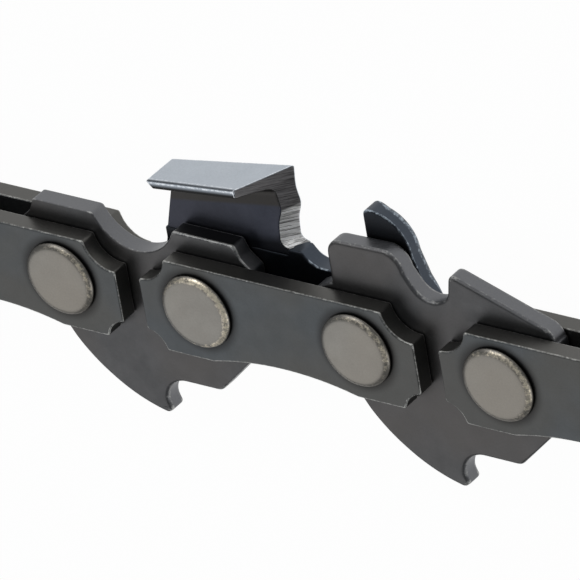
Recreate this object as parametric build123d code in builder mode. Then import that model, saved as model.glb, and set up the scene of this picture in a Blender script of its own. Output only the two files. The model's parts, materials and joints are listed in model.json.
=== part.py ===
# Chainsaw chain loop: 28 drive links of 3/8 inch low profile pitch for a 1.1 mm bar groove.
# It lies on its side, rivet axes along +Z, with the origin under the middle of the loop.
# Links are modelled once in a link frame: X is the way the chain runs, Y points away from
# the bar, and Z = 0 is the middle plane of the chain. Each is then placed along the loop.

import os
from math import cos, radians, sin, tan

from build123d import *

# Chain layout
drive_link_count = 28
drive_spacing = 8.87
tie_spacing = 10.18
bend_pivots = 12

# Sheet thicknesses and running clearances
drive_thickness = 1.1
strap_thickness = 1.1
side_clearance = 0.06
bore_clearance = 0.05

# Rivet
hub_radius = 1.75
shank_radius = 1.3
head_radius = 2.15
head_height = 0.4
head_rim = 0.28

# Tie strap outline, which is also the foot of the cutter
strap_end_margin = 3.66
strap_top = 2.62
strap_bottom = 3.05
strap_waist = 2.48
waist_half_width = 4.6
scallop_radius = 1.73
scallop_inset = 0.1
scallop_rise = 0.23
notch_radius = 1.3
notch_outset = 0.15
notch_drop = 0.2

# Drive link body and tang
body_end_margin = 3.1
body_end_foot = -1.35
tang_radius = 8.66
tang_centre_x = 1.95
tang_centre_y = 0.39
tang_start_y = -3.0
tang_tip_x = 0.15
tang_tip_fillet = 0.2
hook_lobe_x = 0.5
hook_lobe_y = -7.8
hook_top_x = 0.3
hook_top_y = -7.22
hook_floor_x = 1.75
tang_floor_y = -5.77
tang_heel_x = 4.35
tang_heel_fillet = 0.5
heel_slope_x = 6.95
heel_slope_y = -2.85

# Two flat ears and the saddle of the standard drive link
ear_top = 3.72
ear_end_margin = 2.1
flank_margin = 2.42
flank_waist = 2.95
flank_foot = 2.35
saddle_half_width = 2.6
saddle_floor = 1.95

# Hump, valley and ramp of the bumper drive link
hump_rear = -6.35
hump_top = 5.58
hump_rear_fillet = 0.85
hump_shoulder_x = -2.35
hump_shoulder_y = 5.32
hump_front_fillet = 1.1
hump_front_x = -1.15
hump_front_y = 3.75
valley_x = 0.15
valley_y = 3.08
ramp_rear_x = 1.0
ramp_rear_y = 3.7
ramp_peak_x = 1.3
ramp_peak_y = 5.05
ramp_peak_fillet = 0.35
ramp_end_inset = 0.15
ramp_end_y = 3.2

# Side plate and top plate of the cutter
corner_x = -0.35
corner_y = 7.6
kerf_half_width = 2.34
top_plate_slope = 7.0
outer_relief = 4.2
top_plate_rear = -7.95
top_plate_reach = 0.8
inner_relief = 1.4
top_plate_edge = 0.5
top_plate_root = 0.8
side_plate_thickness = 1.1
flare_start = 3.1
under_radius = 0.5
heel_foot_x = -8.3
heel_foot_y = 2.4
heel_top_x = -7.5
heel_top_y = 5.55
heel_undercut = 0.35

# Filed hook, gullet and depth gauge of the cutter
filing_angle = 30.0
hook_depth = 0.03
hook_low_u = 0.36
hook_low_y = 4.0
hook_floor_u = 0.9
lip_x = 0.55
lip_y = 3.45
gullet_floor = 2.72
gullet_start = 1.75
gullet_end = 3.8
gauge_rear = 5.0
gauge_top = 7.05
gauge_rear_fillet = 0.25
gauge_crest = 5.5
gauge_shoulder_x = 7.0
gauge_shoulder_y = 6.32
gauge_front_x = 7.75
gauge_front_y = 4.8
gauge_foot_x = 8.4
gauge_foot_y = 2.8

# Heights across the chain and layout angles that follow from the values above
strap_inner = drive_thickness / 2 + side_clearance
strap_outer = strap_inner + strap_thickness
head_outer = strap_outer + head_height
rest_height = max(kerf_half_width, head_outer)
link_count = 2 * drive_link_count
bend_angle = 180 / bend_pivots
run_half_links = (drive_link_count - bend_pivots) // 2
strap_end = tie_spacing / 2 + strap_end_margin
body_end = drive_spacing / 2 + body_end_margin


def round_corner(sketch, x, y, radius):
    """Round the corner of a sketch that lies nearest to a point."""
    fillet(sketch.vertices().sort_by_distance((x, y, 0))[0], radius)


def strap_face():
    """Draw a tie strap: scalloped above, notched below and hollowed between the rivets."""
    with Locations((0, (strap_top - strap_bottom) / 2)):
        Rectangle(2 * strap_end, strap_top + strap_bottom)
    with Locations((scallop_inset - strap_end, strap_top + scallop_rise),
                   (strap_end - scallop_inset, strap_top + scallop_rise)):
        Circle(scallop_radius, mode=Mode.SUBTRACT)
    with Locations((-strap_end - notch_outset, -strap_bottom - notch_drop),
                   (strap_end + notch_outset, -strap_bottom - notch_drop)):
        Circle(notch_radius, mode=Mode.SUBTRACT)
    with BuildLine() as hollow:
        ThreePointArc((-waist_half_width, -strap_bottom), (0, -strap_waist),
                      (waist_half_width, -strap_bottom))
        Line((waist_half_width, -strap_bottom), (-waist_half_width, -strap_bottom))
    make_face(hollow.edges(), mode=Mode.SUBTRACT)


def gauge_face():
    """Draw what stands on the cutter's strap: the heel, the gullet and the depth gauge."""
    shoulder = strap_top + scallop_rise - scallop_radius
    with BuildLine() as outline:
        Polyline((-strap_end, 0), (-strap_end, shoulder), (heel_foot_x, heel_foot_y),
                 (heel_foot_x, flare_start), (corner_x, flare_start), (corner_x, lip_y),
                 (lip_x, lip_y))
        TangentArc((gullet_start, gullet_floor), (lip_x, lip_y), tangent=(-1, 0))
        Line((gullet_start, gullet_floor), (gullet_end, gullet_floor))
        TangentArc((gullet_end, gullet_floor),
                   (gauge_rear, gullet_floor + gauge_rear - gullet_end), tangent=(1, 0))
        Polyline((gauge_rear, gullet_floor + gauge_rear - gullet_end), (gauge_rear, gauge_top),
                 (gauge_crest, gauge_top))
        ThreePointArc((gauge_crest, gauge_top), (gauge_shoulder_x, gauge_shoulder_y),
                      (gauge_front_x, gauge_front_y))
        Polyline((gauge_front_x, gauge_front_y), (gauge_foot_x, gauge_foot_y),
                 (strap_end, shoulder), (strap_end, 0), (-strap_end, 0))
    make_face(outline.edges())


def rivet_holes(spacing, radius):
    """Cut the two holes of a link."""
    with Locations((-spacing / 2, 0), (spacing / 2, 0)):
        Circle(radius, mode=Mode.SUBTRACT)


def standard_top():
    """Run over two flat ears and the round saddle between them, from right to left."""
    ear_end = drive_spacing / 2 + ear_end_margin
    flank = drive_spacing / 2 + flank_margin
    Polyline((body_end, flank_foot), (flank, flank_waist), (ear_end, ear_top),
             (saddle_half_width, ear_top))
    ThreePointArc((saddle_half_width, ear_top), (0, saddle_floor), (-saddle_half_width, ear_top))
    Polyline((-saddle_half_width, ear_top), (-ear_end, ear_top), (-flank, flank_waist),
             (-body_end, flank_foot))


def bumper_top():
    """Run up the ramp, through the valley and over the hump, from right to left."""
    Polyline((body_end, flank_foot), (body_end - ramp_end_inset, ramp_end_y),
             (ramp_peak_x, ramp_peak_y), (ramp_rear_x, ramp_rear_y))
    ThreePointArc((ramp_rear_x, ramp_rear_y), (valley_x, valley_y), (hump_front_x, hump_front_y))
    Polyline((hump_front_x, hump_front_y), (hump_shoulder_x, hump_shoulder_y),
             (hump_rear, hump_top), (hump_rear, flank_waist), (-body_end, flank_foot))


def tang_point(x=None, y=None):
    """Give the point of the tang's round back that has a known x or y."""
    if x is None:
        return tang_centre_x - (tang_radius**2 - (y - tang_centre_y) ** 2) ** 0.5, y
    return x, tang_centre_y - (tang_radius**2 - (x - tang_centre_x) ** 2) ** 0.5


def drive_face(draw_top):
    """Draw a drive link: body ends, round-backed tang with its hook, and the given top edge."""
    start = tang_point(y=tang_start_y)
    tip = tang_point(x=tang_tip_x)
    with BuildLine() as outline:
        Polyline((-body_end, flank_foot), (-body_end, tang_centre_y), start)
        ThreePointArc(start, tang_point(y=(start[1] + tip[1]) / 2), tip)
        Polyline(tip, (hook_lobe_x, hook_lobe_y), (hook_top_x, hook_top_y))
        TangentArc((hook_floor_x, tang_floor_y), (hook_top_x, hook_top_y), tangent=(-1, 0))
        Polyline((hook_floor_x, tang_floor_y), (tang_heel_x, tang_floor_y),
                 (heel_slope_x, heel_slope_y), (body_end, body_end_foot), (body_end, flank_foot))
        draw_top()
    make_face(outline.edges())


# Standard drive link: one sheet with two bores that turn on the rivets' hubs
with BuildPart() as drive_link:
    with BuildSketch(Plane.XY.offset(-drive_thickness / 2)) as drive_sketch:
        drive_face(standard_top)
        round_corner(drive_sketch, *tang_point(x=tang_tip_x), tang_tip_fillet)
        round_corner(drive_sketch, hook_lobe_x, hook_lobe_y, tang_tip_fillet)
        round_corner(drive_sketch, tang_heel_x, tang_floor_y, tang_heel_fillet)
        rivet_holes(drive_spacing, hub_radius + bore_clearance)
    extrude(amount=drive_thickness)

# Bumper drive link: the same body and tang under a hump, a valley and a ramp
with BuildPart() as bumper_link:
    with BuildSketch(Plane.XY.offset(-drive_thickness / 2)) as bumper_sketch:
        drive_face(bumper_top)
        round_corner(bumper_sketch, *tang_point(x=tang_tip_x), tang_tip_fillet)
        round_corner(bumper_sketch, hook_lobe_x, hook_lobe_y, tang_tip_fillet)
        round_corner(bumper_sketch, tang_heel_x, tang_floor_y, tang_heel_fillet)
        round_corner(bumper_sketch, hump_rear, hump_top, hump_rear_fillet)
        round_corner(bumper_sketch, hump_shoulder_x, hump_shoulder_y, hump_front_fillet)
        round_corner(bumper_sketch, ramp_peak_x, ramp_peak_y, ramp_peak_fillet)
        rivet_holes(drive_spacing, hub_radius + bore_clearance)
    extrude(amount=drive_thickness)

# Tie straps: the near one above the drive links, and its mirror image below them
with BuildPart() as near_strap:
    with BuildSketch(Plane.XY.offset(strap_inner)):
        strap_face()
        rivet_holes(tie_spacing, shank_radius)
    extrude(amount=strap_thickness)

with BuildPart() as far_strap:
    mirror(near_strap.part, about=Plane.XY)

# Rivet: a hub that the drive links turn on, a shank through each strap and two peened heads
with BuildPart() as rivet:
    with BuildSketch(Plane.XZ):
        with BuildLine():
            Polyline((0, -head_outer), (head_radius - head_rim, -head_outer),
                     (head_radius, -head_outer + head_rim), (head_radius, -strap_outer),
                     (shank_radius, -strap_outer), (shank_radius, -strap_inner),
                     (hub_radius, -strap_inner), (hub_radius, strap_inner),
                     (shank_radius, strap_inner), (shank_radius, strap_outer),
                     (head_radius, strap_outer), (head_radius, head_outer - head_rim),
                     (head_radius - head_rim, head_outer), (0, head_outer), close=True)
        make_face()
    revolve(axis=Axis.Z)

with BuildPart() as rivet_pair:
    with Locations((-tie_spacing / 2, 0), (tie_spacing / 2, 0)):
        add(rivet.part)

# Tooth of the left cutter: the side plate leans out and folds over the chain as the top plate.
# It is lofted between two sections, so that its top and its outside fall away to the rear.
front_x = gullet_start
with BuildPart() as tooth:
    for x in (heel_foot_x, front_x):
        top = corner_y + (x - corner_x) * tan(radians(top_plate_slope))
        half_width = kerf_half_width + (x - corner_x) * tan(radians(outer_relief))
        reach = top_plate_reach + (x - corner_x) * tan(radians(inner_relief))
        under_x = top - top_plate_root
        under_y = side_plate_thickness - half_width
        with BuildSketch(Plane.YZ.offset(x)) as section:
            with BuildLine():
                Polyline((strap_waist, -strap_inner), (flare_start, -strap_inner),
                         (under_x, under_y), (top - top_plate_edge, reach), (top, reach),
                         (top, -half_width), (flare_start, -strap_outer),
                         (strap_waist, -strap_outer), close=True)
            make_face()
            round_corner(section, under_x, under_y, under_radius)
    loft(ruled=True)

    # Seen from the side: a heel that leans forward, and nothing below the gullet's lip
    with BuildSketch(Plane.XY):
        with BuildLine():
            Polyline((heel_foot_x, 0), (heel_foot_x, heel_foot_y), (heel_top_x, heel_top_y),
                     (top_plate_rear, heel_top_y + heel_undercut),
                     (top_plate_rear, corner_y + 2), (front_x, corner_y + 2), (front_x, lip_y),
                     (lip_x, lip_y), (lip_x, 0), close=True)
        make_face()
    extrude(amount=2 * kerf_half_width, both=True, mode=Mode.INTERSECT)

    # The filed hook, cut square to the filing direction from the working corner downwards
    file_way = radians(filing_angle)
    with BuildSketch(Plane(origin=(corner_x, 0, -kerf_half_width),
                           x_dir=(cos(file_way), 0, sin(file_way)),
                           z_dir=(-sin(file_way), 0, cos(file_way)))):
        with BuildLine():
            Polyline((0, corner_y + 2), (0, corner_y))
            ThreePointArc((0, corner_y),
                          (hook_low_u / 2 - hook_depth, (corner_y + hook_low_y) / 2),
                          (hook_low_u, hook_low_y))
            TangentArc((hook_floor_u, lip_y), (hook_low_u, hook_low_y), tangent=(-1, 0))
            Polyline((hook_floor_u, lip_y), (corner_y, lip_y), (corner_y, corner_y + 2),
                     (0, corner_y + 2))
        make_face()
    extrude(amount=3 * kerf_half_width, both=True, mode=Mode.SUBTRACT)

# Left cutter: strap, heel, gullet and depth gauge in one sheet with the tooth
with BuildPart() as left_cutter:
    with BuildSketch(Plane.XY.offset(-strap_outer)) as cutter_sketch:
        strap_face()
        gauge_face()
        round_corner(cutter_sketch, gauge_rear, gauge_top, gauge_rear_fillet)
        rivet_holes(tie_spacing, shank_radius)
    extrude(amount=strap_thickness)
    add(tooth.part)

with BuildPart() as right_cutter:
    mirror(left_cutter.part, about=Plane.XY)

# Riveted links that move as one: two straps, or a cutter and a strap, on two rivets
with BuildPart() as tie_link:
    add(near_strap.part)
    add(far_strap.part)
    add(rivet_pair.part)

with BuildPart() as left_cutter_link:
    add(near_strap.part)
    add(left_cutter.part)
    add(rivet_pair.part)

with BuildPart() as right_cutter_link:
    add(far_strap.part)
    add(right_cutter.part)
    add(rivet_pair.part)


def loop_places():
    """Walk round the loop from the middle of the upper run and give each link's place.

    Even links are riveted links and odd ones drive links. The loop has two straight runs,
    and between them the pivots of each bend turn the chain by equal angles.
    """
    spacings = [tie_spacing, drive_spacing]
    width = sum(spacings[(run_half_links + step) % 2] * sin(radians(step * bend_angle))
                for step in range(1, bend_pivots))
    x, y, heading = 0.0, width / 2, 0.0
    places = []
    for number in range(link_count):
        reach = spacings[number % 2] / 2
        if number > 0:
            x += reach * cos(radians(heading))
            y += reach * sin(radians(heading))
        places.append(Location((x, y, rest_height), (0, 0, heading)))
        x += reach * cos(radians(heading))
        y += reach * sin(radians(heading))
        pivot = (number - run_half_links) % drive_link_count
        if pivot < bend_pivots:
            heading -= bend_angle
    return places


def riveted_pieces(number):
    """Name the pieces of a riveted link: every second one carries a cutter, left or right."""
    if number == 1:
        return {"left_cutter_01": left_cutter, "tie_strap_01": near_strap,
                "rivet_pair_01": rivet_pair}
    if number % 4 == 1:
        return {f"left_cutter_link_{number:02d}": left_cutter_link}
    if number % 4 == 3:
        return {f"right_cutter_link_{number:02d}": right_cutter_link}
    return {f"tie_link_{number:02d}": tie_link}


def drive_piece(number):
    """Name a drive link: the one ahead of a cutter is a bumper link."""
    if number % 2 == 1:
        return {f"bumper_drive_link_{number:02d}": bumper_link}
    return {f"drive_link_{number:02d}": drive_link}


os.makedirs("parts", exist_ok=True)
for index, place in enumerate(loop_places()):
    number = index // 2 + 1
    pieces = drive_piece(number) if index % 2 else riveted_pieces(number)
    for name, model in pieces.items():
        piece = model.part.moved(place)
        piece.label = name
        export_step(piece, f"parts/{name}.step")
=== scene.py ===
import json
import math

import bmesh
import bpy
import numpy as np
from mathutils import Matrix, Vector
from mathutils.geometry import tessellate_polygon

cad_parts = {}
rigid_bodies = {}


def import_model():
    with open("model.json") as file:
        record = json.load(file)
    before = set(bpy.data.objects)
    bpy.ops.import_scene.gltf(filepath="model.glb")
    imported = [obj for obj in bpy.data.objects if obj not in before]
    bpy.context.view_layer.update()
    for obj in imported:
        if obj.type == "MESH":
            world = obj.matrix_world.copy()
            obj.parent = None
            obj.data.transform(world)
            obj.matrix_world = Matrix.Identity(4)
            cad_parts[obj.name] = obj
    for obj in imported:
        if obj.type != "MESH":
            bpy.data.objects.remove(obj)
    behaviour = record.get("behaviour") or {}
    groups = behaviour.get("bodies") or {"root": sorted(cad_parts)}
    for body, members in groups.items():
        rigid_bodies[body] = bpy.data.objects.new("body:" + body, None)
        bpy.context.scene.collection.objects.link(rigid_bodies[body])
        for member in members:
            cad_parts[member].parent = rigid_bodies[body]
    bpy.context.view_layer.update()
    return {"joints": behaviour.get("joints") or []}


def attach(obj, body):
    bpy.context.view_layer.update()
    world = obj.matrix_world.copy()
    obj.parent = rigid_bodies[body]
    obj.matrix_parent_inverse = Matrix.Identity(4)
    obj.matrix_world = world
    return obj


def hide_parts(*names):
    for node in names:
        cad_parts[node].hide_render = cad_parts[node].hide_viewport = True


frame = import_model()


# Drive links: 1.1 mm sheet steel, blanked, hardened and blacked in hot salt. Each has a
# round-backed tang with a raking hook for the bar's groove, and two bores that turn on the
# rivets' hubs. 56 rivets join the 28 drive links and the 28 riveted links in turn.
links = 56
opened_at = links // 2
# The five links nearest the lens are drawn in finer steps.
in_view = (54, 55, 0, 1, 2)

# Rivet k joins link k to link k + 1. The joints first give rivets 0 to 27 and links 1 to 28,
# ahead of link 0, and then rivets and links 55 to 29, behind it. The loop is opened at the
# rivet that is left, which lies opposite rivet 0 through the middle of the loop.
joints = frame["joints"]
rivet_at = {}
body_of = {0: joints[0]["parent"]}
for step, joint in enumerate(joints):
    ahead = step < opened_at
    link = step + 1 if ahead else links - 1 - (step - opened_at)
    rivet_at[step if ahead else link] = np.array(joint["pos_m"])
    body_of[link] = joint["child"]
rivet_at[opened_at] = rivet_at[0] * (-1, -1, 1)


def place(link, points):
    """Carry points from a link's frame in millimetres to the loop in metres.

    A point (x, y, z) goes to the middle of the link's two rivets, plus x along the chain, y
    away from the bar and z through the sheets.
    """
    rear, front = rivet_at[(link - 1) % links], rivet_at[link]
    along = (front - rear) / np.linalg.norm(front - rear)
    away = np.array([-along[1], along[0], 0.0])
    turned = points[:, :1] * along + points[:, 1:2] * away + points[:, 2:] * (0, 0, 1)
    return (rear + front) / 2 + turned / 1000


def grows(value, start, over):
    """0 up to start, and from there evenly up to 1 over the next stretch."""
    return np.clip((value - start) / over, 0, 1)


def arc(centre, start, end, turn, count=40):
    """Points centre + radius (cos a, sin a), with a from start to end, left (1) or right (-1)."""
    first = math.atan2(start[1] - centre[1], start[0] - centre[0])
    last = math.atan2(end[1] - centre[1], end[0] - centre[0])
    angle = first + turn * np.linspace(0, (last - first) * turn % (2 * math.pi), count)
    radius = math.dist(centre, start)
    return np.column_stack([centre[0] + radius * np.cos(angle),
                            centre[1] + radius * np.sin(angle)])


def soften(path, length, width):
    """Blur a closed path by a bell: a wave of f turns a millimetre fades by e^-2(pi width f)^2."""
    waves = np.fft.fftfreq(len(path), length / len(path))
    return np.fft.ifft(np.fft.fft(path) * np.exp(-2 * (math.pi * width * waves) ** 2))


def outline(parts, step, width):
    """Join points into a closed path x + iy, read off at even steps and softened by width."""
    corners = np.vstack(parts)
    closed = np.vstack([corners, corners[:1]])
    run = np.append(0, np.cumsum(np.linalg.norm(np.diff(closed, axis=0), axis=1)))
    count = int(run[-1] / step)
    stops = np.arange(count) * run[-1] / count
    path = np.interp(stops, run, closed[:, 0]) + 1j * np.interp(stops, run, closed[:, 1])
    return soften(path, run[-1], width)


def bore(x, radius, count):
    """A round hole x + radius e^-ia, drawn clockwise so that the metal is on its left."""
    return x + radius * np.exp(-2j * math.pi * np.arange(count) / count)


def sheet(curves, low, high, rims, wear=0.1, painted_shade=0.0, touch=1.0):
    """A closed sheet between two levels, from an outline and two bores, with rounded edges.

    Each curve is swept up the sheet. Round an edge, ring a stands in from the curve by rim
    (1 - sin a) and off the sheet's face by rim (1 - cos a), a from 0 to a right angle. The rim
    may change along the curve, and may be one below and another above. The first and the last
    ring are filled. Edges wear most where the curve bends. Wear is that of the walls, the value
    after it says how far the outline's wall is painted black as shade, and touch how much its
    edges are handled. The piece's first material covers the sheet.
    """
    on_face, up_wall = 1.6, 1.3
    straight_wear, corner_wear, tight_bend = 0.84, 0.32, 2.5
    easing, sliver = 0.2, 1e-12
    quarter = np.linspace(0, math.pi / 2, 5)
    tuck, lift = 1 - np.sin(quarter), 1 - np.cos(quarter)
    round_wear = 0.66 + 0.34 * np.sin(quarter)
    inset = np.concatenate([[on_face], tuck, [0, 0], tuck[::-1], [on_face]])
    offset = np.concatenate([[0], lift, [up_wall], [-up_wall], -lift[::-1], [0]])
    edge = np.concatenate([[0], round_wear, [wear, wear], round_wear[::-1], [0]])
    wall = np.array([0, 0, 0, 0.3, 0.7, 1, 1, 1, 1, 0.7, 0.3, 0, 0, 0])
    rings = len(inset)
    level = np.repeat([low, high], rings // 2)
    points, faces, marks, start = [], [], [], 0
    bottom, top, rim_of_top = [], [], []
    for curve, rim, shaded, handled in zip(curves, rims, (painted_shade, 0, 0), (touch, 1, 1)):
        count = len(curve)
        chord = np.roll(curve, -1) - np.roll(curve, 1)
        along = chord
        if curve is curves[0]:
            along = soften(chord, abs(np.diff(curve, append=curve[0])).sum(), easing)
        inward = 1j * along / abs(along)
        bend = abs(np.roll(inward, -1) - np.roll(inward, 1)) / abs(chord)
        prone = handled * (straight_wear + corner_wear * grows(bend, 0, tight_bend))
        below, above = rim if isinstance(rim, tuple) else (rim, rim)
        radius = np.repeat([np.broadcast_to(below, count), np.broadcast_to(above, count)],
                           rings // 2, axis=0)
        ring = curve + inset[:, None] * radius * inward
        height = level[:, None] + offset[:, None] * radius
        points.append(np.stack([ring.real, ring.imag, height], axis=-1).reshape(-1, 3))
        marks.append(np.stack([(edge[:, None] * prone).ravel(),
                               (wall[:, None] * np.broadcast_to(1 + shaded, count)).ravel()]))
        corner = start + np.arange(rings * count).reshape(rings, count)
        after = np.roll(corner, -1, axis=1)
        faces.append(np.stack([corner[:-1], after[:-1], after[1:], corner[1:]],
                              axis=-1).reshape(-1, 4))
        bottom.append(corner[0])
        top.append(corner[-1])
        rim_of_top.append(np.column_stack([ring[-1].real, ring[-1].imag, np.zeros(count)]))
        start += rings * count
    cap = np.array(tessellate_polygon([list(map(Vector, loop)) for loop in rim_of_top]))
    a, b, c = (np.vstack(rim_of_top)[cap[:, k]] for k in range(3))
    turn = (b - a)[:, 0] * (c - a)[:, 1] - (b - a)[:, 1] * (c - a)[:, 0]
    cap[turn < 0] = cap[turn < 0][:, ::-1]
    cap = cap[abs(turn) > sliver]
    faces += [np.concatenate(top)[cap], np.concatenate(bottom)[cap[:, ::-1]]]
    return np.vstack(points), faces, np.hstack(marks), 0


def lay(name, shapes, link, node, materials, mirror=1):
    """Make one piece of a link from its shapes and hand it to the link's body.

    A shape is its points, its blocks of faces, two marks for each point, and the number of the
    material that covers it. The first mark is 0 to 1 for an edge that wears, and the second 0
    to 1 for a cut wall, up to 2 where that wall is painted black as shade. The third is the
    link's own shift, so that no two links have the same mottling. Mirror is -1 where the finish
    reads z reversed.
    """
    own_shift, seam_width = 31.0, 2e-6
    points = np.vstack([shape[0] for shape in shapes])
    faces, covers, start = [], [], 0
    for shape_points, blocks, _, cover in shapes:
        for block in blocks:
            faces += (start + block).tolist()
            covers += [cover] * len(block)
        start += len(shape_points)
    marks = np.column_stack([np.hstack([shape[2] for shape in shapes]).T,
                             np.full(len(points), own_shift * link)])
    mesh = bpy.data.meshes.new(name)
    mesh.from_pydata(place(link, points).tolist(), [], faces)
    mesh.polygons.foreach_set("use_smooth", [True] * len(faces))
    mesh.polygons.foreach_set("material_index", covers)
    for label, values in (("marks", marks), ("at", points * (1, 1, mirror))):
        mesh.attributes.new(label, "FLOAT_VECTOR", "POINT").data.foreach_set(
            "vector", values.ravel())
    seams = bmesh.new()
    seams.from_mesh(mesh)
    bmesh.ops.remove_doubles(seams, verts=seams.verts, dist=seam_width)
    bmesh.ops.recalc_face_normals(seams, faces=seams.faces)
    seams.to_mesh(mesh)
    seams.free()
    for material in materials:
        mesh.materials.append(material)
    piece = bpy.data.objects.new(name, mesh)
    bpy.context.scene.collection.objects.link(piece)
    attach(piece, body_of[link])
    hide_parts(node)


def wire(tree, kind, inputs=(), **settings):
    """Add a node, set its properties, and give each input a value or the socket it reads."""
    node = tree.nodes.new(kind)
    for key, value in settings.items():
        setattr(node, key, value)
    for socket, value in dict(inputs).items():
        if isinstance(value, bpy.types.NodeSocket):
            tree.links.new(value, node.inputs[socket])
        else:
            node.inputs[socket].default_value = value
    return node


def reckon(tree, operation, *values):
    """One sum of single values, as a socket."""
    return wire(tree, "ShaderNodeMath", dict(enumerate(values)), operation=operation).outputs[0]


def reckon_places(tree, operation, *places):
    """One sum of places or colours, as a node that puts out a Vector or a Value."""
    return wire(tree, "ShaderNodeVectorMath", dict(enumerate(places)),
                operation=operation).outputs


def climb(tree, value, start, end, bottom=0.0, top=1.0, kind="LINEAR"):
    """Go from bottom to top while a value goes from start to end, as a socket."""
    return wire(tree, "ShaderNodeMapRange",
                {"Value": value, "From Min": start, "From Max": end, "To Min": bottom,
                 "To Max": top}, interpolation_type=kind).outputs["Result"]


def cloud(tree, spot, scale, detail, roughness):
    """Cloudy noise over a place in millimetres, as a socket."""
    return wire(tree, "ShaderNodeTexNoise", {"Vector": spot, "Scale": scale, "Detail": detail,
                                             "Roughness": roughness}).outputs["Fac"]


def new_group(name, inputs, outputs):
    """Start a group of nodes and return it with its two ends. At is a place, the rest values."""
    tree = bpy.data.node_groups.new(name, "ShaderNodeTree")
    for labels, side in ((inputs, "INPUT"), (outputs, "OUTPUT")):
        for label in labels:
            kind = "NodeSocketVector" if label == "At" else "NodeSocketFloat"
            tree.interface.new_socket(label, in_out=side, socket_type=kind)
    return tree, tree.nodes.new("NodeGroupInput").outputs, tree.nodes.new("NodeGroupOutput").inputs


# Every finish is faintly mottled, stained warmer here and there and finely grained, and
# handling rubs its edges down to bright specks of bare steel.
skin, given, result = new_group("oxide_skin", ("At", "Edge", "Rub"),
                                ("Blotch", "Warmth", "Grain", "Worn"))
blotches = cloud(skin, given["At"], 0.8, 6.0, 0.62)
warm_stains = cloud(skin, given["At"], 0.16, 2.0, 0.5)
pores = cloud(skin, given["At"], 9.0, 5.0, 0.6)
chips = cloud(skin, given["At"], 4.2, 9.0, 0.82)
rubbed = reckon(skin, "MULTIPLY", given["Edge"], given["Rub"])
chipped = reckon(skin, "MULTIPLY", rubbed, chips)
skin.links.new(climb(skin, blotches, 0.3, 0.7), result["Blotch"])
skin.links.new(climb(skin, warm_stains, 0.38, 0.62), result["Warmth"])
skin.links.new(pores, result["Grain"])
skin.links.new(climb(skin, chipped, 0.4, 0.56), result["Worn"])

# Painted shade lies just above the straps, standing in for their dark tops reflected in the
# drive link's face, in a band that fades upwards and towards the link's middle.
shade_black = (0.014, 0.014, 0.014)
shade_above_straps, given, result = new_group("strap_painted_shade", ("At", "Strength"), ("Share",))
spot = wire(shade_above_straps, "ShaderNodeSeparateXYZ", {"Vector": given["At"]}).outputs
out_of_strap = climb(shade_above_straps, spot["Y"], 2.45, 2.62, top=given["Strength"])
fading = climb(shade_above_straps, spot["Y"], 3.55, 2.85, kind="SMOOTHSTEP")
beside = climb(shade_above_straps, reckon(shade_above_straps, "ABSOLUTE", spot["X"]), 1.6, 3.4, kind="SMOOTHSTEP")
band = reckon(shade_above_straps, "MULTIPLY", out_of_strap, fading)
shade_above_straps.links.new(reckon(shade_above_straps, "MULTIPLY", band, beside), result["Share"])


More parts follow.
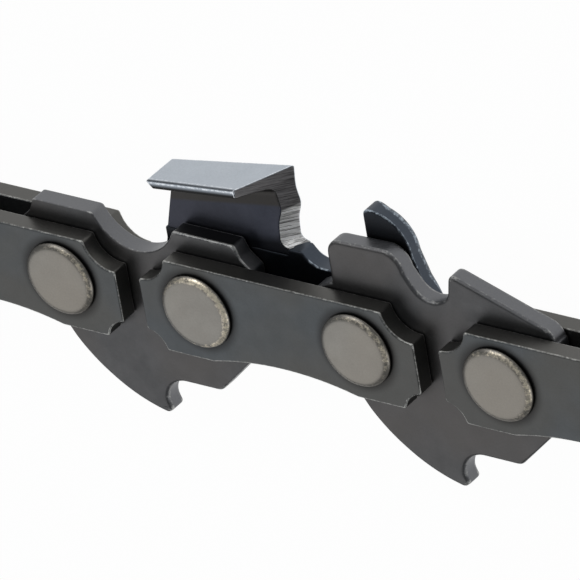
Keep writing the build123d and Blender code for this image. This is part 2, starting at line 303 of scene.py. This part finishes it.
def steel(name, dark, light, warm, bare, wall, metal=0.9, rough=0.42, rub=1.0, shades_and_stains=(),
          strokes=0.0, along=(0.0, 0.0, 0.0)):
    """A steel finish: two tones of skin and a warmer stain, then what its marks call for.

    Each shade and stain is a group that says where it lies, the group's own values, and its
    colour; here they are painted shade, and round the rivets painted shadow with old oil. Cut
    walls take their own tone or are painted black as shade, and worn edges are bare. Strokes is
    how strongly a file's strokes show, and along is the turn in degrees that lays them.
    """
    warmth, grain_contrast, grain_gloss = 0.6, 0.08, 0.05
    grain_relief, relief_depth = 0.12, 0.00002
    stroke_scale, stroke_stretch = 10.0, (1, 1, 0.05)
    material = bpy.data.materials.new(name)
    material.use_nodes = True
    tree = material.node_tree
    shader = tree.nodes["Principled BSDF"]
    at = wire(tree, "ShaderNodeAttribute", attribute_name="at").outputs["Vector"]
    marks = wire(tree, "ShaderNodeAttribute", attribute_name="marks").outputs["Vector"]
    mark = wire(tree, "ShaderNodeSeparateXYZ", {"Vector": marks}).outputs
    own = reckon_places(tree, "ADD", at, mark["Z"])["Vector"]
    look = wire(tree, "ShaderNodeGroup", {"At": own, "Edge": mark["X"], "Rub": rub},
                node_tree=skin).outputs

    def over(share, under, colour):
        """Lay a colour over what is under it, by a share."""
        return wire(tree, "ShaderNodeMix", {0: share, 6: under, 7: (*colour, 1)},
                    data_type="RGBA").outputs[2]

    tone = over(look["Blotch"], (*dark, 1), light)
    tone = over(reckon(tree, "MULTIPLY", look["Warmth"], warmth), tone, warm)
    for group, values, colour in shades_and_stains:
        overlay = wire(tree, "ShaderNodeGroup", {"At": at, **values}, node_tree=group)
        tone = over(overlay.outputs["Share"], tone, colour)
    tone = over(mark["Y"], tone, wall)
    # Walls marked above 1 are painted black, as shade.
    tone = over(reckon(tree, "SUBTRACT", mark["Y"], 1.0), tone, shade_black)
    tone = over(look["Worn"], tone, bare)
    relief = look["Grain"]
    speck = climb(tree, relief, 0.3, 0.7, 1 - grain_contrast, 1 + grain_contrast)
    if strokes:
        laid = wire(tree, "ShaderNodeVectorRotate",
                    {"Vector": at, "Rotation": tuple(map(math.radians, along))},
                    rotation_type="EULER_XYZ", invert=True).outputs["Vector"]
        drawn = reckon_places(tree, "MULTIPLY", laid, stroke_stretch)["Vector"]
        relief = cloud(tree, drawn, stroke_scale, 4.0, 0.7)
        speck = climb(tree, relief, 0.37, 0.63, 1 - strokes, 1 + strokes)
    colour = reckon_places(tree, "MULTIPLY", tone, speck)["Vector"]
    dullness = climb(tree, look["Grain"], 0.25, 0.75, rough - grain_gloss, rough + grain_gloss)
    bump = wire(tree, "ShaderNodeBump", {"Height": relief, "Distance": relief_depth,
                                         "Strength": grain_relief + strokes / 2})
    tree.links.new(colour, shader.inputs["Base Color"])
    tree.links.new(dullness, shader.inputs["Roughness"])
    tree.links.new(bump.outputs["Normal"], shader.inputs["Normal"])
    shader.inputs["Metallic"].default_value = metal
    return material


# The drive links carry the painted shade above the straps.
drive_skin = steel("drive_oxide", (0.078, 0.078, 0.080), (0.104, 0.103, 0.105),
                   (0.098, 0.090, 0.085), (0.38, 0.38, 0.37), (0.153, 0.156, 0.164),
                   rough=0.42, rub=0.92, shades_and_stains=[(shade_above_straps, {"Strength": 0.5}, shade_black)])

# The outlines run anticlockwise: round the tang and its hook, then back along the top.
half_sheet = 0.55
drive_pivots = (-4.435, 4.435)
hub_bore, bore_rim = 1.8, 0.05
tang = [
    [(-7.535, 2.35), (-7.535, 0.39)],
    arc((1.95, 0.39), (-6.02, -3.0), (0.15, -8.08), 1),
    [(0.5, -7.8), (0.32, -7.35)],
    arc((1.75, -7.22), (0.3, -7.22), (1.75, -5.77), -1),
    [(3.85, -5.77)],
    arc((3.85, -5.27), (3.85, -5.77), (4.18, -5.646), 1),
    [(6.95, -2.85), (7.535, -1.35), (7.535, 2.35)],
]
ears_and_saddle = [
    [(6.855, 2.95), (6.535, 3.72), (2.6, 3.72)],
    arc((0, 4.745), (2.6, 3.72), (-2.6, 3.72), -1),
    [(-2.6, 3.72), (-6.535, 3.72), (-6.855, 2.95)],
]
ramp_valley_and_hump = [
    arc((6.55, 2.3), (7.45, 2.3), (6.78, 3.39), 1),
    [(1.62, 4.99)],
    arc((1.52, 4.66), (1.62, 4.99), (1.18, 4.72), 1),
    [(1.0, 3.7)],
    arc((-0.06, 4.43), (1.0, 3.7), (-1.15, 3.75), -1),
    arc((-2.9, 4.35), (-1.62, 4.49), (-2.72, 5.37), 1),
    [(-5.5, 5.545)],
    arc((-5.5, 4.7), (-5.5, 5.55), (-6.35, 4.7), 1),
    [(-6.35, 2.95)],
]
for link in range(1, links, 2):
    number = link // 2 + 1
    bumpered = number % 2
    name = f"{'bumper_' if bumpered else ''}drive_link_{number:02d}"
    step, facets = (0.08, 96) if link in in_view else (0.24, 40)
    edge = outline(tang + (ramp_valley_and_hump if bumpered else ears_and_saddle), step, 0.1)
    # The tang, the hump and the ramp are coined rounder. Under a tooth the ear's wall is painted
    # black, as painted shadow of the tooth's top plate.
    under_tooth = 0.9 * (1 - bumpered) * grows(edge.real, 1.8, 1.2)
    coined = (0.08 + 0.13 * grows(-edge.imag, 4.5, 2) + 0.12 * bumpered * grows(edge.imag, 1.9, 1.2)
              + 0.06 * under_tooth * grows(edge.imag, 2.4, 1))
    lay("blank_" + name,
        [sheet([edge] + [bore(x, hub_bore, facets) for x in drive_pivots],
               -half_sheet, half_sheet, [coined, bore_rim, bore_rim],
               painted_shade=under_tooth * (1 - 0.85 * grows(edge.real, 6.4, 0.15)),
               touch=1.04 + 0.36 * under_tooth)],
        link, name, [drive_skin])


# Tie straps: 1.1 mm sheet in pairs outside the drive links, blacked as they are. Each end has
# a scallop above and a notch below, and the foot is hollowed. The rivets are pressed into two
# holes.
strap_pivots = (-5.09, 5.09)
inner_face, outer_face = 0.61, 1.71
shank_hole = 1.3
strap_foot = [
    arc((-8.9, -3.25), (-8.75, -1.959), (-7.6155, -3.05), -1),
    arc((0, -21.3), (-4.6, -3.05), (4.6, -3.05), -1),
    arc((8.9, -3.25), (7.6155, -3.05), (8.75, -1.959), -1),
]
scallops = [
    arc((8.65, 2.85), (8.75, 1.123), (6.935, 2.62), -1),
    arc((-8.65, 2.85), (-6.935, 2.62), (-8.75, 1.123), -1),
]

# A dark ring round each rivet's head is painted shadow of the head, partly old oil dried dark.
shadow_and_oil_dark = (0.012, 0.010, 0.009)
halo, given, result = new_group("rivet_halo", ("At", "Strength"), ("Share",))
one_end = reckon_places(halo, "ABSOLUTE", given["At"])["Vector"]
flat = reckon_places(halo, "MULTIPLY", one_end, (1, 1, 0))["Vector"]
from_rivet = reckon_places(halo, "DISTANCE", flat, (strap_pivots[1], 0, 0))["Value"]
halo.links.new(climb(halo, from_rivet, 2.75, 2.1, top=given["Strength"], kind="SMOOTHSTEP"),
               result["Share"])

strap_skin = steel("strap_oxide", (0.072, 0.078, 0.082), (0.090, 0.097, 0.102),
                   (0.092, 0.087, 0.078), (0.42, 0.42, 0.40), (0.100, 0.098, 0.092),
                   rough=0.4, rub=1.1, shades_and_stains=[(halo, {"Strength": 0.68}, shadow_and_oil_dark)])

for link in range(0, links, 2):
    number = link // 2 + 1
    node = "tie_strap_01" if link == 0 else body_of[link]
    sides = [1, -1] if number % 2 == 0 else [1 if number % 4 == 1 else -1]
    step, facets = (0.08, 64) if link in in_view else (0.24, 32)
    edge = outline(strap_foot + scallops, step, 0.09)
    curves = [edge] + [bore(x, shank_hole, facets) for x in strap_pivots]
    # The foot drags along the bar, which keeps its edge bright.
    dragged = 1 + 0.4 * grows(-edge.imag, 2.0, 0.6)
    for side in sides:
        low, high = sorted((side * inner_face, side * outer_face))
        lay(f"strap_{number:02d}_{'near' if side > 0 else 'far'}",
            [sheet(curves, low, high, [0.09, bore_rim, bore_rim], touch=dragged)],
            link, node, [strap_skin])


# Rivets: nickel-coloured steel, turned with a hub for the drive links and a shank for each
# strap, and peened at both ends into flat heads whose rims stay round and worn bright, with a
# painted highlight on one side.
# The rivet's near-black wall tone is painted shade under the heads' rims.
rivet_metal = steel("rivet_nickel", (0.205, 0.194, 0.176), (0.240, 0.229, 0.208),
                    (0.225, 0.204, 0.175), (0.98, 0.87, 0.68), (0.02, 0.018, 0.015),
                    metal=1.0, rough=0.34, rub=1.04)


def turned(x, count, battered):
    """A rivet turned about its own axis, its rim worn by battering and painted brighter on one side
    as a highlight.

    Point (a, t) is at (x + r(t) cos a, r(t) sin a, z(t)), where t runs from the middle of one
    head over its rolled rim and back under it, along the shank and over the hub, and then the
    same way back to the other head.
    """
    shank, hub, highlight_side = 1.29, 1.74, 0.6
    roll = np.linspace(0, math.pi / 2, 10)
    radius = np.concatenate([[0.12, 0.9, 1.4, 1.58], 1.64 + 0.5 * np.sin(roll),
                             [2.13, 2.06, 2.04, shank, shank, shank, hub, hub, hub]])
    height = np.concatenate([[2.106, 2.104, 2.102, 2.1], 1.82 + 0.276 * np.cos(roll),
                             [1.78, 1.75, 1.71, 1.71, 1.7, 0.6, 0.6, 0.59, 0.0]])
    edge = np.concatenate([[0, 0, 0, 0.2], 0.35 + 0.65 * np.sin(2 * roll), np.zeros(9)])
    # Below the rolled rim and down the shank the rivet is painted near-black, as shade where the
    # head meets the strap.
    wall = np.concatenate([np.zeros(13), [0.4], np.ones(9)])
    radius, edge, wall = (np.concatenate([row, row[-2::-1]]) for row in (radius, edge, wall))
    height = np.concatenate([height, -height[-2::-1]])
    angle = 2 * math.pi * np.arange(count) / count
    # Painted highlight: the worn rim is brighter on the side at angle 0.6 from the chain's forward
    # direction.
    edge = edge[:, None] * (battered + 0.2 * np.cos(angle - highlight_side))
    points = np.stack([x + radius[:, None] * np.cos(angle), radius[:, None] * np.sin(angle),
                       np.repeat(height[:, None], count, axis=1)], axis=-1).reshape(-1, 3)
    corner = np.arange(len(radius) * count).reshape(len(radius), count)
    after = np.roll(corner, -1, axis=1)
    wraps = np.stack([corner[:-1], corner[1:], after[1:], after[:-1]], axis=-1).reshape(-1, 4)
    heads = [corner[:1], corner[-1:, ::-1]]
    return points, [wraps, *heads], (edge.ravel(), np.repeat(wall, count)), 0


for link in range(0, links, 2):
    number = link // 2 + 1
    node = "rivet_pair_01" if link == 0 else body_of[link]
    facets = 120 if link in in_view else 36
    rear_wear, front_wear = 0.92 if link == 0 else 0.6 + 0.05 * (link * 7 % 5), 0.72
    lay(f"rivets_{number:02d}",
        [turned(strap_pivots[0], facets, rear_wear), turned(strap_pivots[1], facets, front_wear)],
        link, node, [rivet_metal])


# Cutters: strap, depth gauge and tooth pressed from one sheet. The tooth's side plate leans
# out and folds over the chain as the top plate, chrome plated on the outside. The file's
# hollow at the front leaves bare ground steel under the two cutting edges.

# A painted shade comes in between two heights, which fall backwards with the top plate.
plate_fall = 0.123
shade_band, given, result = new_group("height_zone", ("At", "Low", "High"), ("Share",))
risen = reckon_places(shade_band, "DOT_PRODUCT", given["At"], (-plate_fall, 1, 0))["Value"]
shade_band.links.new(climb(shade_band, risen, given["Low"], given["High"]), result["Share"])

cutter_skin = steel("cutter_oxide", (0.013, 0.015, 0.019), (0.022, 0.026, 0.033),
                    (0.024, 0.023, 0.024), (0.40, 0.46, 0.52), (0.056, 0.067, 0.084),
                    rough=0.4, rub=1.05, shades_and_stains=[(halo, {"Strength": 0.7}, shadow_and_oil_dark)])
# Inside, the tooth is painted black low down, as shade under the top plate and above the ear, and
# brown-grey along the top, the same painted shade as the top of the filed front.
tooth_skin = steel("tooth_inside", (0.046, 0.050, 0.066), (0.066, 0.070, 0.092),
                   (0.046, 0.046, 0.056), (0.30, 0.33, 0.38), (0.03, 0.03, 0.033),
                   rough=0.42, rub=0.8,
                   shades_and_stains=[(shade_band, {"Low": 4.25, "High": 3.75}, (0.012, 0.013, 0.017)),
                           (shade_band, {"Low": 5.75, "High": 5.9}, (0.052, 0.049, 0.047))])
plated = steel("tooth_chrome", (0.40, 0.44, 0.485), (0.44, 0.48, 0.525),
               (0.42, 0.455, 0.50), (0.86, 0.89, 0.93), (0.15, 0.165, 0.185), metal=1.0,
               rough=0.33, rub=1.1)
# The filed front is painted dark near the top plate, as painted shade standing in for a dark
# reflection.
ground = steel("ground_hook", (0.74, 0.73, 0.72), (0.97, 0.96, 0.94), (0.87, 0.85, 0.82),
               (0.85, 0.85, 0.83), (0.5, 0.5, 0.5), metal=0.35, rough=0.38, rub=0.9,
               shades_and_stains=[(shade_band, {"Low": 5.45, "High": 5.6}, (0.135, 0.129, 0.130))],
               strokes=0.75, along=(-8.4, -30.0, 0.0))

# The cutting corner is where the side plate meets the top plate at the front. These are its
# place along the chain, its height and its reach to the side, and the near edge's reach.
corner_x, corner_top, corner_reach, near_reach = -0.35, 7.6, 2.34, 0.8
thickness, tooth_foot, heel_x, tooth_span = 1.1, 3.1, -8.3, 8.0
# The file is held at 30 degrees.
filing_sine, filing_cosine = 0.5, 0.8660254
# The near edge takes this many points on each side of its middle.
edge_points = 6


def fold(start, corner, end, size, counts):
    """A path over a corner: straight, round a parabola of that size, and straight again.

    Between the points before and after the corner, point t of the parabola is at (1 - t)^2
    before + 2 t (1 - t) corner + t^2 after.
    """
    first = (corner - start) / np.linalg.norm(corner - start)
    second = (end - corner) / np.linalg.norm(end - corner)
    before, after = corner - size * first, corner + size * second
    rise, turn, fall = (np.linspace(0, 1, count)[:, None] for count in counts)
    return np.vstack([(start + (before - start) * rise)[:-1],
                      ((1 - turn) ** 2 * before + 2 * turn * (1 - turn) * corner
                       + turn ** 2 * after)[:-1],
                      after + (end - after) * fall])


def tooth_section(x):
    """Outside and inside of the tooth's wall at x, as rows of (y, z) from foot to near edge.

    Behind the cutting corner each measure falls away by its relief angle: it is its size at
    the corner + (x - corner) tan angle.
    """
    top, half, near = (size + (x - corner_x) * math.tan(math.radians(relief))
                       for size, relief in ((corner_top, 7.0), (corner_reach, 4.2),
                                            (near_reach, 1.4)))
    outside = ((tooth_foot, -outer_face), (top, -half), (top, near), 0.16)
    inside = ((tooth_foot, -inner_face), (top - 0.8, thickness - half), (top - 0.5, near), 0.5)
    paths = []
    for foot, corner, edge, size in (outside, inside):
        foot, corner, edge = np.array(foot), np.array(corner), np.array(edge)
        wall = fold(foot, corner, edge - (0, 0.3), size, (40, 14, 14))
        nose = fold(edge - (0, 0.3), edge, np.array([top - 0.25, near]), 0.1, (4, 7, 6))
        paths.append(np.vstack([wall, nose[1:]]))
    return paths


def hook(y):
    """How far the file's hollow stands ahead of the cutting edge at a height.

    With t from 0 at the top plate to 1 at 3.6 mm below it, it is 0.36 t - 0.12 t (1 - t), plus
    a brow, a bell 0.2 deep round 5.55. Below 4.0 it is the file's round, 0.9 - the root of
    (0.54^2 - (y - 3.99)^2).
    """
    down = grows(-y, -corner_top, 3.6)
    low = np.clip(y, 3.45, 4.0)
    round_of_file = 0.9 - np.sqrt(np.maximum(0.54 ** 2 - (low - 3.99) ** 2, 0))
    brow = 0.2 * np.exp(-((y - 5.55) / 0.6) ** 2)
    return np.where(y > 4.0, 0.36 * down - 0.12 * down * (1 - down) + brow, round_of_file)


def front(y, z):
    """The tooth's filed front, square to the filing direction of 30 degrees.

    It is at corner + (hook(y) - (z + reach) sin 30) / cos 30.
    """
    return corner_x + (hook(y) - (z + corner_reach) * filing_sine) / filing_cosine


def rear(y, z):
    """The tooth's heel: it leans forward by 0.8 in 3.15 mm, and over that the top plate ends."""
    heel = heel_x + (y - 2.4) * 0.8 / 3.15
    return np.where(y < 5.55, heel, np.interp(y, (5.55, 6.2, 6.6), (-7.5, -7.55, -7.95)))


def tooth(stations, rim=0.04):
    """The tooth's wall as a grid of points: one ring of the section at each station.

    The stations are spread evenly from the heel to the file's hollow, and the section at x is
    the one at 0 + x times its slope. Heel and hollow depend on height and height on x, so a
    few rounds settle them. Both end rings are rounded over: ring a stands in by rim
    (1 - sin a) and back by rim (1 - cos a). It returns the points, how far each wears, and
    along the section how far it is the sheared near edge, up to 2 where its lower side is
    painted black as shade.
    """
    tail, head = tooth_section(-tooth_span), tooth_section(0.0)
    base = np.vstack([head[0], head[1][::-1]])
    slope = (base - np.vstack([tail[0], tail[1][::-1]])) / tooth_span
    ends = []
    for end, guess in ((rear, -tooth_span), (front, -1.0)):
        x = np.full(len(base), guess)
        for _ in range(8):
            x = end(*(base + slope * x[:, None]).T)
        ends.append(x)
    share = np.linspace(0, 1, stations)[:, None]
    x = ends[0] + rim + (ends[1] - ends[0] - 2 * rim) * share
    section = base + slope * x[..., None]
    step = np.gradient(section, axis=1)
    unit = step / np.linalg.norm(step, axis=2, keepdims=True)
    inward = np.stack([-unit[..., 1], unit[..., 0]], axis=-1)

    side_plate, over_fold, top_plate = np.zeros(39), np.full(13, 0.8), np.zeros(13)
    over_nose = [0.62, 0.74, 0.78, 0.5, 0, 0, 0.1, 0.5, 0.72, 0.84, 0.84, 0.8, 0.66, 0.5, 0.2]
    sharp = np.concatenate([side_plate, over_fold, top_plate, over_nose, np.zeros(80)])
    # Along the near edge the sheared wall takes the wall's tone, and its lower side, marked above
    # 1, is painted black as shade.
    nose_cut_and_shade = [0.8, 1.3, 1.6, 1.3, 0.7, 0.4, 0.2, 0.2, 0.3, 0.5,
                    0.8, 1, 1, 1.3, 1.6, 1.9, 2, 2, 2, 2]
    cut_and_shade = np.concatenate([np.zeros(68), nose_cut_and_shade, np.zeros(72)])

    middle = np.concatenate([x[1:-1, :, None], section[1:-1]], axis=-1)
    rounded = []
    for end, k, sense in ((rear, 0, 1), (front, -1, -1)):
        turn = np.radians([0, 30, 60, 90][::sense])[:, None]
        ring = section[k] + inward[k] * rim * (1 - np.sin(turn))[..., None]
        run = end(ring[..., 0], ring[..., 1]) + sense * rim * (1 - np.cos(turn))
        rounded.append((np.concatenate([run[..., None], ring], axis=-1),
                        np.maximum(sharp, 0.45 + 0.55 * np.sin(turn))))
    (heel, heel_wear), (hollow, hollow_wear) = rounded
    return (np.concatenate([heel, middle, hollow]),
            np.concatenate([heel_wear, np.tile(sharp, (stations - 2, 1)), hollow_wear]), cut_and_shade)


def grid_faces(corner, flip):
    """Four-cornered faces over a grid of point numbers, turned over where flip says so."""
    quads = np.stack([corner[:-1, :-1], corner[1:, :-1], corner[1:, 1:], corner[:-1, 1:]],
                     axis=-1).reshape(-1, 4)
    return [quads[:, ::-1] if flip else quads]


def tooth_shapes(stations, side):
    """The tooth in three finishes: chrome outside, oxide inside, ground front.

    The wall's grid is parted on the near edge. Foot, front and heel are filled between the
    outside and the inside, point (s, t) at (1 - t) outer(s) + t inner(s), with the front and
    the heel then brought onto their own surfaces.
    """
    inside, chrome, bare = 1, 2, 3
    grid, wear, cut_and_shade = tooth(stations)
    half = grid.shape[1] // 2
    shapes = []
    for low, high, cover in ((0, half + edge_points + 1, chrome),
                             (half + edge_points, 2 * half, inside)):
        strip, worn = grid[:, low:high], wear[:, low:high].ravel()
        number = np.arange(len(worn)).reshape(strip.shape[:2])
        cut = np.tile(cut_and_shade[low:high], len(grid))
        shapes.append((strip.reshape(-1, 3), grid_faces(number, side > 0), (worn, cut), cover))
    share = np.linspace(0, 1, 2 * edge_points - 1)[:, None, None]
    foot = grid[None, :, -1] * (1 - share) + grid[None, :, 0] * share
    fills = [(foot, side < 0, inside)]
    for row, end, forward in ((-1, front, True), (0, rear, False)):
        outer = grid[row, :half - edge_points + 1]
        inner = grid[row, half + edge_points - 1:][::-1]
        fill = outer[None] * (1 - share) + inner[None] * share
        fill[1:-1, :, 0] = end(fill[1:-1, :, 1], fill[1:-1, :, 2])
        fill[:, -1] = np.delete(grid[row, half - edge_points:half + edge_points], edge_points,
                                axis=0)
        fills.append((fill, forward == (side > 0), bare if forward else inside))
    for fill, flip, cover in fills:
        worn = np.zeros(fill.shape[:2])
        worn[[0, -1]] = 0.45 * (cover == bare)
        number = np.arange(worn.size).reshape(worn.shape)
        shapes.append((fill.reshape(-1, 3), grid_faces(number, flip),
                       (worn.ravel(), np.zeros(worn.size)), cover))
    if side > 0:
        shapes = [(points * (1, 1, -1), *rest) for points, *rest in shapes]
    return shapes


gauge_gullet_and_ridge = [
    [(8.75, 1.123), (8.4, 2.8), (7.75, 4.8)],
    arc((5.336, 4.684), (7.75, 4.8), (5.5, 7.05), 1),
    [(5.25, 7.05)],
    arc((5.25, 6.8), (5.25, 7.05), (5.0, 6.8), 1),
    arc((3.8, 3.92), (5.0, 3.92), (3.8, 2.72), -1),
    arc((1.75, 4.071), (1.75, 2.72), (0.55, 3.45), -1),
    [(0.55, 3.45), (-0.35, 3.45), (-0.35, 3.1), (-8.3, 3.1), (-8.3, 2.4), (-8.75, 1.123)],
]
for link in range(0, links, 4):
    number = link // 2 + 1
    side = -1 if number % 4 == 1 else 1
    node = "left_cutter_01" if link == 0 else body_of[link]
    low, high = sorted((side * inner_face, side * outer_face))
    step, facets, stations = (0.08, 64, 70) if link in in_view else (0.24, 32, 20)
    edge = outline(strap_foot + gauge_gullet_and_ridge, step, 0.09)
    # The gauge is filed round on its outside, and the tooth keeps hands off the ridge it
    # stands on.
    filed_round = 0.08 + 0.36 * (grows(edge.real, 5.3, 0.8) * grows(edge.imag, 2.2, 1.2))
    rim = (0.1, filed_round) if side > 0 else (filed_round, 0.1)
    beside_tooth = 1 - grows(edge.imag, 2.7, 0.3) * grows(-edge.real, -0.9, 0.5)
    blank = sheet([edge] + [bore(x, shank_hole, facets) for x in strap_pivots], low, high,
                  [rim, bore_rim, bore_rim], wear=0.62, touch=beside_tooth)
    lay(f"cutter_{number:02d}", [blank, *tooth_shapes(stations, side)], link, node,
        [cutter_skin, tooth_skin, plated, ground], mirror=-side)


# The stage: a white table that keeps a faint shadow, three wide soft lamps and a pale room,
# seen through a long lens from the front right, above the chain.
table_reach, table_glow = 9, 0.975
table_mesh = bpy.data.meshes.new("table")
table_mesh.from_pydata([(-table_reach, -table_reach, 0), (table_reach, -table_reach, 0),
                        (table_reach, table_reach, 0), (-table_reach, table_reach, 0)],
                       [], [(0, 1, 2, 3)])
table = bpy.data.objects.new("table", table_mesh)
bpy.context.scene.collection.objects.link(table)
paper = bpy.data.materials.new("white_table")
paper.use_nodes = True
tree = paper.node_tree
matt = tree.nodes["Principled BSDF"]
matt.inputs["Base Color"].default_value = (0.9, 0.9, 0.9, 1)
matt.inputs["Roughness"].default_value = 0.8
ray = wire(tree, "ShaderNodeLightPath").outputs
seen = reckon(tree, "MAXIMUM", ray["Is Camera Ray"], ray["Is Glossy Ray"])
seen = reckon(tree, "MAXIMUM", seen, ray["Is Transmission Ray"])
share = reckon(tree, "MULTIPLY", seen, table_glow)
glow = wire(tree, "ShaderNodeEmission", {"Color": (1, 1, 1, 1), "Strength": 1.0})
blend = wire(tree, "ShaderNodeMixShader", {0: share, 1: matt.outputs["BSDF"],
                                           2: glow.outputs["Emission"]})
tree.links.new(blend.outputs["Shader"], tree.nodes["Material Output"].inputs["Surface"])
table_mesh.materials.append(paper)

scene = bpy.context.scene
world = bpy.data.worlds.new("pale_room")
world.use_nodes = True
room = world.node_tree.nodes["Background"]
room.inputs["Color"].default_value = (0.92, 0.96, 1.0, 1)
room.inputs["Strength"].default_value = 0.28
scene.world = world

# Each lamp has its place from the middle of the cutter's link, its width and its power.
link_middle = Vector(((rivet_at[links - 1] + rivet_at[0]) / 2).tolist())
for name, offset, width, power in (("key", (-0.26, 0.54, 0.36), 0.52, 1.5),
                                   ("soft", (-0.42, -0.38, 0.5), 0.62, 1.1),
                                   ("side", (0.55, -0.33, 0.22), 0.4, 0.6)):
    lamp = bpy.data.lights.new(name, "AREA")
    lamp.size = width
    lamp.energy = power
    bulb = bpy.data.objects.new(name, lamp)
    bulb.location = link_middle + Vector(offset)
    bulb.rotation_euler = Vector(offset).to_track_quat("Z", "Y").to_euler()
    scene.collection.objects.link(bulb)

# The camera stands back from its aim, a little beside the link's middle, and is rolled.
aim = link_middle + Vector((0.001324, 0.002723, 0.00171))
towards = Vector((0.55515, 0.51110, 0.65619)).normalized()
distance, roll = 0.46311, math.radians(-9.907)
across = Vector((0, 1, 0)).cross(towards).normalized()
right = across * math.cos(roll) + towards.cross(across) * math.sin(roll)
lens = bpy.data.cameras.new("camera")
lens.lens = 560.0
lens.sensor_width = 36.0
lens.clip_end = 10.0
camera = bpy.data.objects.new("camera", lens)
stand = Matrix((right, towards.cross(right), towards)).transposed().to_4x4()
stand.translation = aim + towards * distance
camera.matrix_world = stand
scene.collection.objects.link(camera)
scene.camera = camera
scene.view_settings.view_transform = "Standard"
